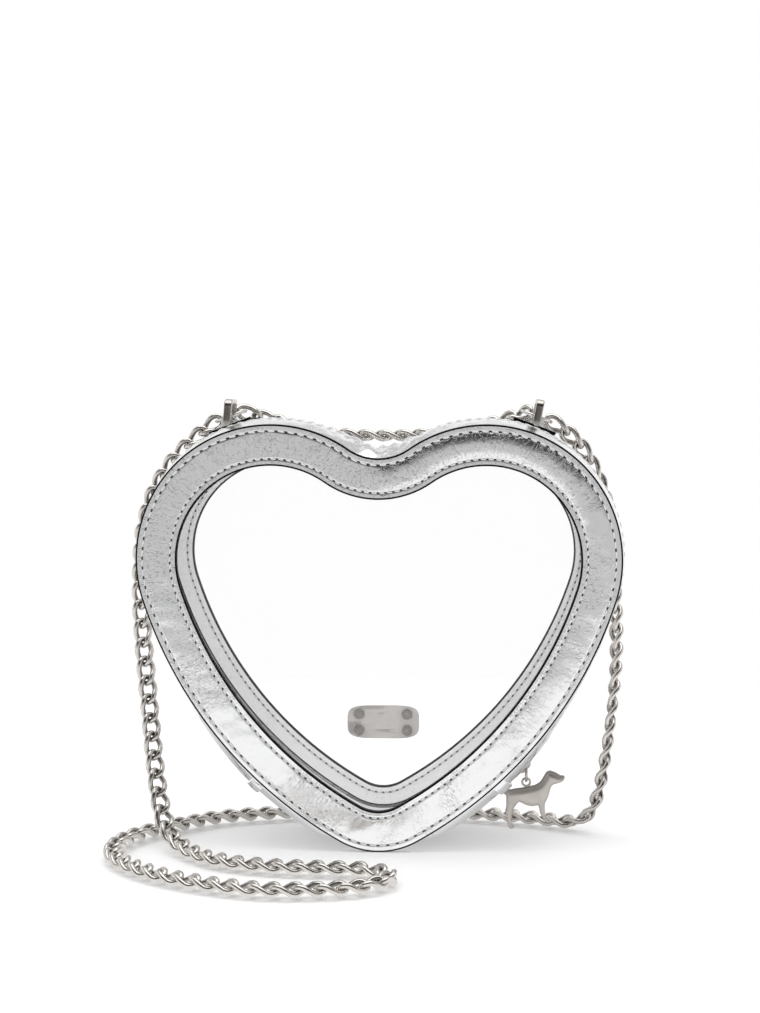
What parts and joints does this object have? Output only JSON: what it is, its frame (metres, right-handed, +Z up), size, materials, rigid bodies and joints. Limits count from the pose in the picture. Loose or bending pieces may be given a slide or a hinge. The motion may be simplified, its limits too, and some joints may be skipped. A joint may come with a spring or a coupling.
{
  "type": "heart shaped purse",
  "caption": "Heart shaped purse with metallic leather borders, clear windows, a zip round the top with a dog charm pull, and a curb chain strap held by two swinging rings.",
  "frame": {"origin": "under the middle of the bag, on the floor that its tip stands on", "axes": "+X to the right seen from the front, +Y from the front panel to the back panel, +Z up"},
  "size_m": [0.206, 0.1358, 0.1776],
  "materials": {
    "silver_leather": "crackled metallic silver leather with black painted edges",
    "lining_leather": "smooth pale grey facing",
    "clear_sheet": "clear flexible sheet",
    "zip_tape": "woven pale grey tape",
    "zip_coil": "silver grey moulded coil",
    "nickel": "brushed nickel plating",
    "chain_nickel": "brushed nickel plated chain",
    "satin_nickel": "satin nickel plated casting"
  },
  "bodies": {
    "bag": {"front_border": "silver_leather", "front_window": "clear_sheet", "front_facing": "lining_leather", "back_border": "silver_leather", "back_window": "clear_sheet", "back_facing": "lining_leather", "gusset_bottom": "silver_leather", "zip_gusset_front": "silver_leather", "zip_gusset_back": "silver_leather", "zip_tape_front": "zip_tape", "zip_tape_back": "zip_tape", "zip_coil_front": "zip_coil", "zip_coil_back": "zip_coil", "zip_top_stops": "nickel", "zip_bottom_stop": "nickel", "zip_end_tab_left": "silver_leather", "zip_end_tab_right": "silver_leather", "ring_tab_left": "silver_leather", "ring_tab_right": "silver_leather", "connector_left": "nickel", "connector_right": "nickel", "chain_left_drop": "chain_nickel", "chain_front_floor": "chain_nickel", "chain_rear_floor": "chain_nickel", "chain_right_drop": "chain_nickel", "chain_swag": "chain_nickel", "emblem_plate": "satin_nickel", "emblem_rivets": "satin_nickel", "emblem_washers": "satin_nickel"},
    "slider": {"zip_slider": "nickel"},
    "pull_ring": {"pull_ring": "nickel"},
    "charm": {"dog_charm": "satin_nickel"},
    "left_ring": {"d_ring_left": "nickel"},
    "right_ring": {"d_ring_right": "nickel"}
  },
  "joints": [
    {"name": "zip_slide", "type": "hinge", "parent": "bag", "child": "slider", "pos_m": [-0.06747, 0, 0.15023], "axis": [0, -1, 0], "range_deg": [0, 23]},
    {"name": "pull_swing", "type": "hinge", "parent": "slider", "child": "pull_ring", "pos_m": [0.05879, 0, 0.0287], "axis": [1, 0, 0], "range_deg": [-30, 12]},
    {"name": "charm_swing", "type": "hinge", "parent": "pull_ring", "child": "charm", "pos_m": [0.05879, 0, 0.0237], "axis": [0, 1, 0], "range_deg": [-25, 8]},
    {"name": "left_ring_swing", "type": "hinge", "parent": "bag", "child": "left_ring", "pos_m": [-0.06247, 0.0128, 0.16829], "axis": [0, 1, 0], "range_deg": [-50, 10]},
    {"name": "right_ring_swing", "type": "hinge", "parent": "bag", "child": "right_ring", "pos_m": [0.06247, 0.0128, 0.16829], "axis": [0, 1, 0], "range_deg": [-25, 40]}
  ]
}
